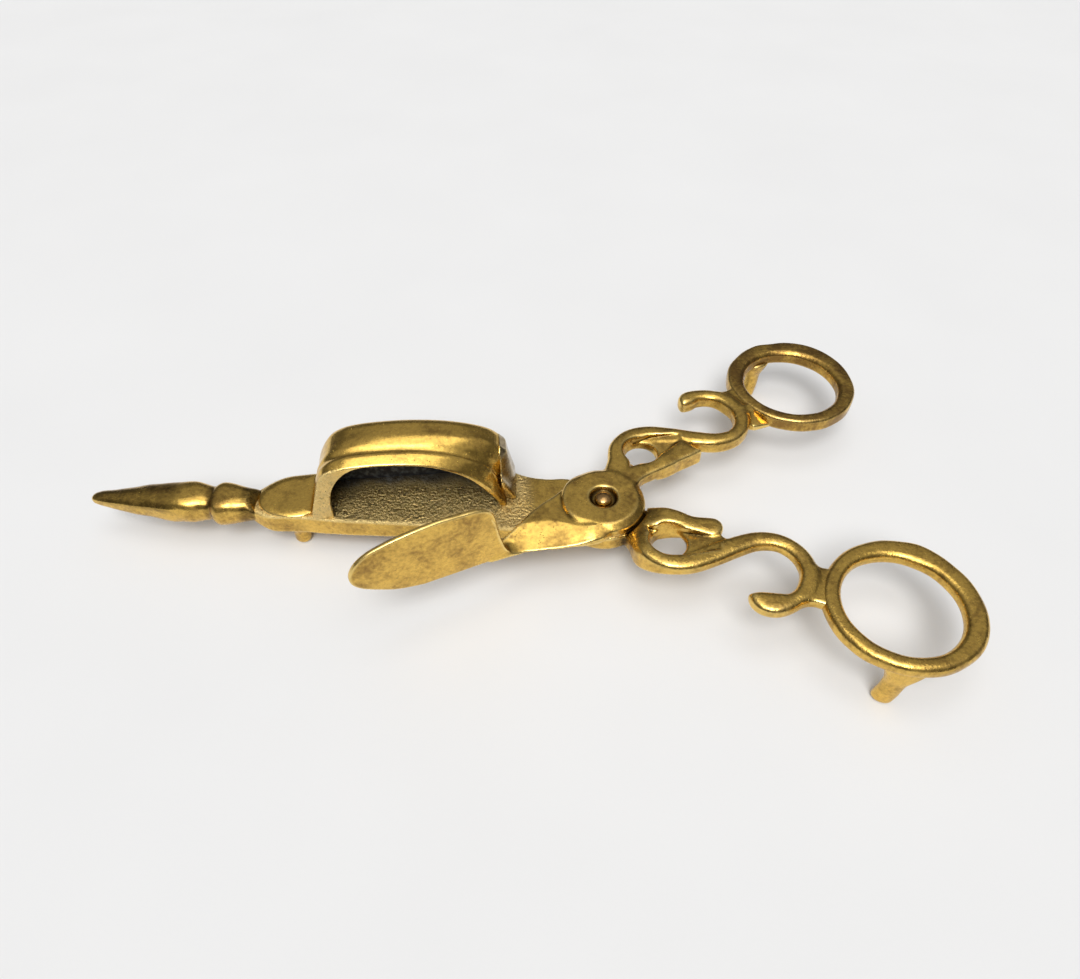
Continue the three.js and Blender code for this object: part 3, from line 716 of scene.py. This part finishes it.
def finial_field(t, v, z):
    """Round beads at the root, then a leaf with a domed top and a keel below."""
    stations = np.array(FINIAL)
    line = spline(np.column_stack([stations, stations[:, 1]]), 200)
    half = np.interp(t, line[:, 0], line[:, 1])
    leaf = smooth_step(14.8, 17.5, t)
    height = half * (0.95 - 0.06 * leaf)
    z = z + 0.35 * smooth_step(16, 34, t)
    across, up = np.abs(v) / half, z / height
    bead = (across ** BEAD_POWER + np.abs(up) ** BEAD_POWER) ** (1 / BEAD_POWER)
    dome = np.hypot(across / 1.1, np.maximum(up, 0))
    keel = (across ** KEEL_POWER + np.maximum(-up, 0) ** KEEL_POWER) ** (1 / KEEL_POWER)
    blade = smooth_max(np.maximum(dome, across), keel, 0.03)
    field = (blend(bead, blade, leaf) - 1) * height * 0.9
    root = (z - 3.6 + 1.2 * np.clip(1.2 - t, 0, 5)) * 0.7
    field = smooth_max(field, root, 0.8)
    field = np.maximum(field, t - FINIAL_TIP)
    return np.maximum(field, FINIAL_ROOT - t) + wobble(t, v, z, 0.05, 6, 15)


# ---- Feet, rivet, washer, tongue and end wall --------------------------------------------

def foot_field(top, lean, wide, narrow, flare):
    """A small tapered foot, swelling where it joins the casting above it."""
    def field(x, y, z):
        height = np.clip((z - GROUND_Z) / (top - GROUND_Z), 0, 1.3)
        swell = 1 + 0.12 * height + flare * smooth_step(0.6, 1.15, height)
        size = np.hypot((x - lean * (height - 0.5)) / (wide * swell), y / (narrow * swell))
        side = (size - 1) * narrow * swell * 0.95
        return smooth_max(side, np.maximum(GROUND_Z - z, z - top - 0.9), 0.9) + wobble(x, y, z, 0.05, 5, 16)
    return field


HEAD_CENTRE, HEAD_SPHERE, HEAD_RADIUS, HEAD_LOW = -2.35, 2.6, 1.78, -0.93
SHAFT_RADIUS, SHAFT_TOP, SHAFT_LOW = 1.4, -0.8, -8.2
TAIL_RADIUS, TAIL_HEIGHT = 2.3, 0.95
WASHER_RADIUS = 3.3
WASHER_LOW, WASHER_HIGH = PAN_BOTTOM - 0.72, PAN_BOTTOM - 0.02


def rivet_field(x, y, z):
    """A domed head in the boss's bowl, the shaft and the peened tail under the washer."""
    radius = np.hypot(x, y)
    sphere = np.hypot(radius, z - HEAD_CENTRE) - HEAD_SPHERE
    head = np.maximum(smooth_max(sphere, radius - HEAD_RADIUS, 0.25), HEAD_LOW - z)
    shaft = np.maximum(radius - SHAFT_RADIUS, np.maximum(z - SHAFT_TOP, SHAFT_LOW - z))
    tail_z = z - (PAN_BOTTOM - 0.75)
    tail = smooth_max(radius - TAIL_RADIUS, np.maximum(tail_z, -tail_z - TAIL_HEIGHT), 0.5)
    return np.minimum(np.minimum(head, shaft), tail) + wobble(x, y, z, 0.03, 3, 17)


def washer_field(x, y, z):
    """A flat ring between the pan's underside and the tail."""
    radius = np.hypot(x, y)
    flat = np.maximum(radius - WASHER_RADIUS, RIVET_HOLE - radius)
    return slab(flat, z, WASHER_LOW, WASHER_HIGH, 0.15)


TONGUE = [
    [-60.4, 4.6], [-62.4, 3.8], [-66, 4.0], [-69.8, 5.6], [-72, 8.4], [-72.1, 11.2], [-70.4, 13.6],
    [-66.4, 15.6], [-60.4, 16],
]
TONGUE_HEIGHT, TONGUE_FALL = 0.8, 0.45


def tongue_field(x, y, z):
    """A thin pad on the pan's end, falling a little to its edge."""
    flat = polygon(x, y, spline(TONGUE, 60))
    top = PAN_TOP + TONGUE_HEIGHT - TONGUE_FALL * np.clip(1 + flat / 2.2, 0, 1) ** 2
    return slab(flat, z, PAN_TOP - 0.1, top, 0.35) + wobble(x, y, z, 0.03, 6, 18)


def end_wall_field(s, d, z):
    """The box's end, a little outside its profile and leaning out to the foot."""
    lean = 0.35 + 0.2 * np.clip(6 - z, 0, 10)
    field = smooth_max(hood_outer(s - lean, d, z), HOOD_END - 1.6 - s, 0.2)
    field = smooth_max(field, CREASE - 1.6 - d, 0.6) + 0.14
    return np.maximum(field, HOOD_FOOT - z) + wobble(s, d, z, 0.05, 4.5, 19)


# ---- Masks ---------------------------------------------------------------------------
# Each gives, from 0 to 1, where the surface is sandy or sooty, and where shade is painted on it.

def to_mouth(points):
    s, d = turned_frame(points[:, 0], points[:, 1], MOUTH_START, MOUTH_ANGLE)
    return s, d, points[:, 2]


def pan_masks(points):
    """Sand on the pan, soot at the back of the box, and painted shade at its corners and round the boss."""
    s, d, z = to_mouth(points)
    top = smooth_step(PAN_TOP - 0.7, PAN_TOP - 0.1, z) * smooth_step(-13, -17, points[:, 0])
    boxed = smooth_step(0.5, 2, s) * smooth_step(39.5, 37.5, s)
    boxed = boxed * smooth_step(HOOD_DEPTH + 0.4, HOOD_DEPTH - 0.3, d)
    unevenness = wobble(*points.T, 1.3, 9, 21)
    # Painted shade in the corners where the box's end meets the pan, and in a ring round the boss under its
    # edge
    corner = smooth_step(3.2, 1.2, np.hypot(s - HOOD_END, d - 2.5))
    corner = corner + smooth_step(3.2, 1, np.hypot(s - HOOD_END, d - 9))
    ring_round_boss = smooth_step(10.4, 9.2, np.hypot(points[:, 0], points[:, 1]))
    ring_round_boss = ring_round_boss * smooth_step(0, 3, points[:, 0])
    return {
        "sand": top,
        "soot": 0.92 * top * boxed * smooth_step(5.5, 10.5, d + unevenness),
        "painted_shade": np.maximum(0.7 * top * np.clip(corner, 0, 1), 0.85 * ring_round_boss),
    }


def hood_masks(points):
    """Soot in the box, sand on the mouth's left foot, and painted shade at the right foot."""
    s, d, z = to_mouth(points)
    inner = smooth_step(-0.3, -0.6, hood_outer(s, d, z)) * smooth_step(0.35, 1.1, d)
    inner = inner * smooth_step(HOOD_DEPTH - 0.4, HOOD_DEPTH - 0.9, d)
    front = smooth_step(0.55, 0.1, d) * smooth_step(9, 3, s)
    # Painted shade low down at the box's right foot, where it meets the pan and the end wall
    foot = smooth_step(6, -1, z) * smooth_step(34, 37.5, s)
    return {"sand": front, "soot": inner, "painted_shade": 0.75 * foot}


def boss_masks(points):
    """Painted shade in the bowl round the rivet."""
    x, y, z = points.T
    bowl = smooth_step(3.3, 2.9, np.hypot(x, y)) * smooth_step(-0.15, -0.5, z)
    return {"painted_shade": 0.8 * bowl}


def finial_masks(points):
    """The tip's pitted top is painted with shade, which leaves its side paler; the groove and the neck get
    painted shade too.
    """
    t, v = turned_frame(points[:, 0], points[:, 1], FINIAL_START, FINIAL_ANGLE)
    top = smooth_step(-0.3, 1.0, points[:, 2] - FINIAL_HEIGHT - 0.2)
    tip = smooth_step(14.5, 18.5, t + wobble(*points.T, 0.8, 5, 22))
    groove = smooth_step(1.3, 0.4, np.abs(t - 9))
    neck = smooth_step(3.2, 1.4, t)
    return {"painted_shade": np.maximum(0.6 * top * tip, np.maximum(0.5 * groove, 0.8 * neck))}


# ---- Pieces --------------------------------------------------------------------------

def build(node, body, material, field, low, high, step=STEP, place=None, masks=None):
    """The piece for one CAD node, from its field on a grid, moved to its place in the tool's frame."""
    x, y, z = grid(low, high, step)
    points, faces = surface(field(x, y, z), low, step)
    points = relax(points, faces)
    if place:
        points = place(points)
    points[:, 2] = np.maximum(points[:, 2], GROUND_Z)
    return make_piece(node + "_skin", points, faces, body, [node], material,
                      masks(points) if masks else None)


CAST = brass("cast_brass")
FILED = brass("filed_brass", file_marks=True)
BOX = brass("box_brass", tarnish=0.3, gloss=(0.17, 0.30), cast=0.6, scratch=1.2)
PLATE_FINISH = brass("plate_brass", tarnish=0.55, gloss=(0.22, 0.34), cast=0.5, scratch=1.4, pits=0.3)
TARNISHED = brass("tarnished_brass", tarnish=0.85, file_marks=True)
SOLDER = brass("solder_grey", SOLDER_FRESH, SOLDER_PATINA, pits=0.6)
RIVET = brass("rivet_brass", RIVET_FRESH, RIVET_PATINA, gloss=(0.16, 0.28), cast=0.5)

def from_mouth(points):
    return turned_back(points, MOUTH_START, MOUTH_ANGLE)


def from_plate(points):
    return turned_back(points, PLATE_START, PLATE_ANGLE)


def from_finial(points):
    return turned_back(points + [0, 0, FINIAL_HEIGHT], FINIAL_START, FINIAL_ANGLE)


def from_handle(side):
    """Moves points from a bow's own frame to its handle."""
    centre = np.array([[BOW_DISTANCE, 0, 0]])
    return lambda points: turned_back(points + centre, (0, 0), side * HANDLE_ANGLE)


build("box_lever", "box_arm", FILED, box_lever_field, (-76.5, -38, -9.2), (58, 18, 0.8),
      masks=pan_masks)
build("blade_lever", "blade_arm", CAST, blade_lever_field, (-26.5, -14.6, -5.4), (58, 42, 13),
      masks=boss_masks)
build("snuff_box_hood", "box_arm", BOX, hood_field, (-3.4, -1.2, -4.2), (40.4, 13.2, 13.6),
      FINE_STEP, from_mouth, hood_masks)
build("snuff_box_end_wall", "box_arm", SOLDER, end_wall_field,
      (36.4, 0.6, -4.2), (42.9, 13.4, 10), FINE_STEP, from_mouth)
build("trimming_plate", "blade_arm", PLATE_FINISH, plate_field,
      (4.6, -2.3, -4), (36.4, 1, 14.2), FINE_STEP, from_plate)
build("tongue_plate", "box_arm", BOX, tongue_field, (-73.5, 3, -4), (-59.5, 17, -1.6),
      FINE_STEP)
build("finial_spike", "box_arm", CAST, finial_field, (-4, -5.4, -5.4), (37.2, 5.4, 5.4),
      FINE_STEP, from_finial, finial_masks)
build("pivot_rivet", "box_arm", RIVET, rivet_field, (-3.4, -3.4, -9.4), (3.4, 3.4, 1),
      FINEST_STEP)
build("rivet_washer", "box_arm", CAST, washer_field, (-4.4, -4.4, -8.4), (4.4, 4.4, -6),
      FINE_STEP)

BOX_BOW_THICKNESS, BLADE_BOW_THICKNESS = 3.2, 3.6
BOW_REACH = 16.8
FOOT_MIDDLE = (2.4, 12.5)
FOOT_CIRCLE = 14.1
FRONT_FOOT = (-64.5, 7, 0)

# Each bow's lever, side, material, rim, thickness, rounding, crown, bevel and the grid's low end
BOWS = [
    ("box", BOX_SIDE, FILED, BOX_RIM, BOX_BOW_THICKNESS, 1.2, 0.25, 0.3, -4.2),
    ("blade", BLADE_SIDE, TARNISHED, BLADE_RIM, BLADE_BOW_THICKNESS, 0.75, 0.1, 1.0, -4.6),
]


def bow(rim, thickness, rounding, crown, bevel):
    return lambda x, y, z: bow_field(x, y, z, rim, thickness, rounding, crown, bevel)


def bow_foot(side, thickness):
    """A tab under the bow's outer side, kept inside the bow's own circle."""
    middle = np.array([FOOT_MIDDLE[0], side * FOOT_MIDDLE[1], 0])
    tab = foot_field(-thickness, lean=1.0, wide=1.9, narrow=1.4, flare=0.9)

    def field(x, y, z):
        outside = np.hypot(x + middle[0], y + middle[1]) - FOOT_CIRCLE
        return smooth_max(tab(x, y, z), outside, 0.5)
    return field, lambda points: from_handle(side)(points + middle)


for lever, side, metal, rim, thickness, rounding, crown, bevel, low in BOWS:
    shape = bow(rim, thickness, rounding, crown, bevel)
    build(lever + "_finger_bow", lever + "_arm", metal, shape,
          (-BOW_REACH, -BOW_REACH, low), (BOW_REACH, BOW_REACH, 0.8), FINE_STEP, from_handle(side))
for lever, side, thickness in [(row[0], row[1], row[4]) for row in BOWS]:
    shape, place = bow_foot(side, thickness)
    build(lever + "_bow_foot", lever + "_arm", CAST, shape,
          (-4.6, -4.2, GROUND_Z - 0.8), (5.2, 4.2, -thickness + 1.6), FINE_STEP, place)
build("front_foot", "box_arm", CAST,
      foot_field(PAN_FRONT_BOTTOM, lean=0.2, wide=1.7, narrow=1.5, flare=0.5),
      (-3.8, -3.8, GROUND_Z - 0.8), (3.8, 3.8, PAN_FRONT_BOTTOM + 1.6), FINE_STEP,
      lambda points: points + np.array(FRONT_FOOT))


# ---- Floor, light and camera ---------------------------------------------------------

def in_world(place):
    return Vector(np.array(place) * MM + ORIGIN)


FLOOR_HALF = 20
FLOOR_CORNERS = ((-1, -1), (1, -1), (1, 1), (-1, 1))
corners = [(x * FLOOR_HALF, y * FLOOR_HALF, 0) for x, y in FLOOR_CORNERS]
floor_mesh = bpy.data.meshes.new("floor")
floor_mesh.from_pydata(corners, [], [(0, 1, 2, 3)])
floor = bpy.data.objects.new("floor", floor_mesh)
bpy.context.scene.collection.objects.link(floor)
paper = Shader("paper")
PAPER_DARK, PAPER_LIGHT = (0.76, 0.76, 0.76, 1), (0.80, 0.80, 0.80, 1)
tone = paper.mix(paper.noise(0.02, 2.0), PAPER_DARK, PAPER_LIGHT)
floor_mesh.materials.append(paper.finish(tone, 0.9, paper.bump(paper.noise(1.5), 0.01), 0.0))


def daylight(name, way, degrees, strength):
    """A broad soft light from far away, coming along the given way."""
    lamp = bpy.data.lights.new(name, "SUN")
    lamp.angle = math.radians(degrees)
    lamp.energy = strength
    thing = bpy.data.objects.new(name, lamp)
    bpy.context.scene.collection.objects.link(thing)
    thing.rotation_mode = "QUATERNION"
    thing.rotation_quaternion = Vector(way).to_track_quat("-Z", "Y")


daylight("key", (0.12, 0.56, -0.82), 34, 2.1)
daylight("overhead", (0.0, 0.12, -1.0), 54, 0.9)
daylight("sky", (0.0, 0.0, -1.0), 110, 0.5)

STUDIO_COLOUR = (0.12, 0.118, 0.115, 1)
world = bpy.data.worlds.new("studio")
bpy.context.scene.world = world
world.use_nodes = True
world.node_tree.nodes["Background"].inputs["Color"].default_value = STUDIO_COLOUR
world.node_tree.nodes["Background"].inputs["Strength"].default_value = 1.0

CAMERA_PLACE = (-25.0, -106.9, 120.3)
CAMERA_WAY = (0.0740, 0.6737, -0.7352)
SENSOR_MM, LENS_MM, NEAR_CLIP = 36, 26.11, 0.01
camera = bpy.data.objects.new("camera", bpy.data.cameras.new("camera"))
bpy.context.scene.collection.objects.link(camera)
camera.location = in_world(CAMERA_PLACE)
camera.rotation_mode = "QUATERNION"
camera.rotation_quaternion = Vector(CAMERA_WAY).to_track_quat("-Z", "Y")
camera.data.sensor_width = SENSOR_MM
camera.data.lens = LENS_MM
camera.data.clip_start = NEAR_CLIP
bpy.context.scene.camera = camera
bpy.context.scene.view_settings.view_transform = "Standard"
